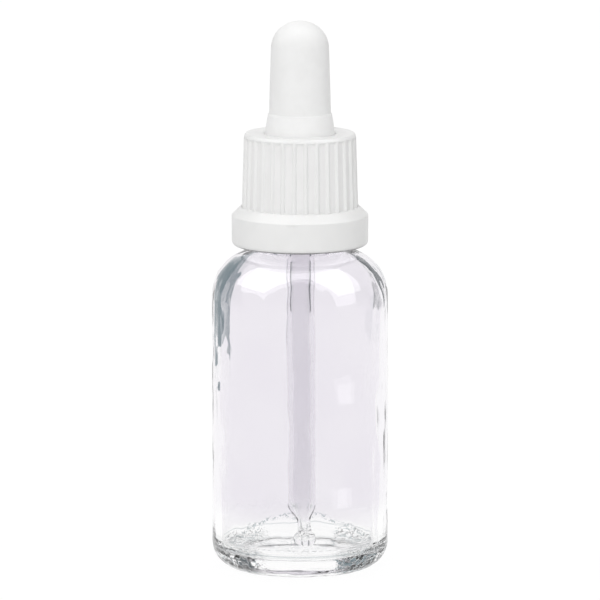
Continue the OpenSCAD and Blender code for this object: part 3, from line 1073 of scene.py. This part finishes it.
def soft_window(name, azimuth, elevation, distance, half_width, half_height, material):
    """A card that faces the bottle's shoulder from above; azimuth is as for studio_card."""
    bm = bmesh.new()
    bmesh.ops.create_grid(bm, x_segments=1, y_segments=1, size=1)
    bmesh.ops.scale(bm, verts=bm.verts, vec=(half_width, half_height, 1))
    bmesh.ops.translate(bm, verts=bm.verts, vec=(0, 0, -distance))
    turned = Matrix.Rotation(math.radians(azimuth), 4, "Z")
    tilted = Matrix.Rotation(math.radians(90 - elevation) + math.pi, 4, "X")
    bmesh.ops.transform(bm, verts=bm.verts, matrix=turned @ tilted)
    bmesh.ops.translate(bm, verts=bm.verts, vec=(0, 0, SHOULDER_TOP_Z * MM))
    staged_mesh(bm, name, material)


def studio_card(name, azimuth, distance, low, high, half_width, material):
    """An upright card that faces the bottle, at degrees to the right, seen from the camera."""
    bm = bmesh.new()
    corners = [(-half_width, low), (half_width, low), (half_width, high), (-half_width, high)]
    bm.faces.new([bm.verts.new((x, 0, z)) for x, z in corners])
    turn = math.radians(azimuth)
    turned = Matrix.Rotation(turn, 3, "Z")
    bmesh.ops.rotate(bm, verts=bm.verts, cent=(0, 0, 0), matrix=turned)
    forth = (distance * math.sin(turn), -distance * math.cos(turn), 0)
    bmesh.ops.translate(bm, verts=bm.verts, vec=forth)
    staged_mesh(bm, name, material)


def studio_cards():
    """Dark cards for the glass's edges, and bright ones for its reflections; in metres."""
    dark = card_material("dark_card", (0.15, 0.21, 0.235), 1.0, reflected=0, walls=1, tube=0)
    deep = card_material("deep_card", (0.05, 0.07, 0.08), 1.0, reflected=0, walls=1, tube=0)
    line = card_material("line_card", (0.1, 0.12, 0.13), 1.0, reflected=0, walls=0, tube=1)
    softbox = card_material("softbox", (1, 1, 1), 3.6, reflected=1, walls=0, tube=0)
    patch = card_material("patch", (1, 1, 1), 1.9, reflected=1, walls=0, tube=0)

    # Name, azimuth, distance, low and high edge, half width, material
    studio_card("card_left", -145, 0.21, 0.004, 0.4, 0.066, dark)
    studio_card("card_right", 150, 0.25, 0.008, 0.4, 0.028, deep)
    studio_card("line_left", -110, 0.29, 0.018, 0.4, 0.1, line)
    studio_card("line_right", 110, 0.29, 0.018, 0.4, 0.1, line)
    studio_card("patch_high", 51, 0.04, 0.0285, 0.0325, 0.0075, patch)
    studio_card("patch_low", 49, 0.04, 0.0085, 0.0122, 0.006, patch)

    # Name, azimuth, elevation, distance, half width, half height, material
    soft_window("window_left", -76, 61, 0.5, 0.26, 0.36, softbox)
    soft_window("window_right", 71, 56, 0.5, 0.21, 0.42, softbox)


def soft_lamp(name, place, size, power):
    """A round soft lamp that looks at the object's middle and leaves no mirror image."""
    lamp = bpy.data.lights.new(name, "AREA")
    lamp.shape = "DISK"
    lamp.size = size
    lamp.energy = power
    obj = bpy.data.objects.new(name, lamp)
    obj.location = place
    aim = LAMP_AIM - Vector(place)
    obj.rotation_euler = aim.to_track_quat("-Z", "Y").to_euler()
    obj.visible_glossy = False
    obj.visible_transmission = False
    bpy.context.scene.collection.objects.link(obj)


# The camera: metres from the axis and above the floor, degrees down, and the lens from the
# focal length in pixels of the photograph's width
CAMERA_DISTANCE = 1.145
CAMERA_HEIGHT = 0.2449
CAMERA_PITCH = math.radians(9.64)
FOCAL_PX = 6212
PHOTO_PX = 600
SENSOR_MM = 36


def photo_camera():
    """The photograph's view: from the front, a little above the cap, through a long lens."""
    camera = bpy.data.cameras.new("camera")
    camera.sensor_width = SENSOR_MM
    camera.lens = FOCAL_PX * SENSOR_MM / PHOTO_PX
    camera.clip_start = 0.01
    obj = bpy.data.objects.new("camera", camera)
    obj.location = (0, -CAMERA_DISTANCE, CAMERA_HEIGHT)
    obj.rotation_euler = (math.pi / 2 - CAMERA_PITCH, 0, 0)
    bpy.context.scene.collection.objects.link(obj)
    bpy.context.scene.camera = obj


photo_camera()
build_glass_bottle()
build_glass_pipette()
build_rubber_bulb()
build_screw_cap()
build_tamper_band()
build_tamper_bridges()
studio_world()
studio_floor()
studio_cards()
soft_lamp("key", (-0.14, -0.72, 0.45), size=0.4, power=2.0)
soft_lamp("top", (0.0, 0.1, 0.8), size=0.6, power=1.25)

bpy.context.scene.view_settings.view_transform = "Standard"
bpy.context.scene.cycles.max_bounces = 24
bpy.context.scene.cycles.glossy_bounces = 16
bpy.context.scene.cycles.transmission_bounces = 20
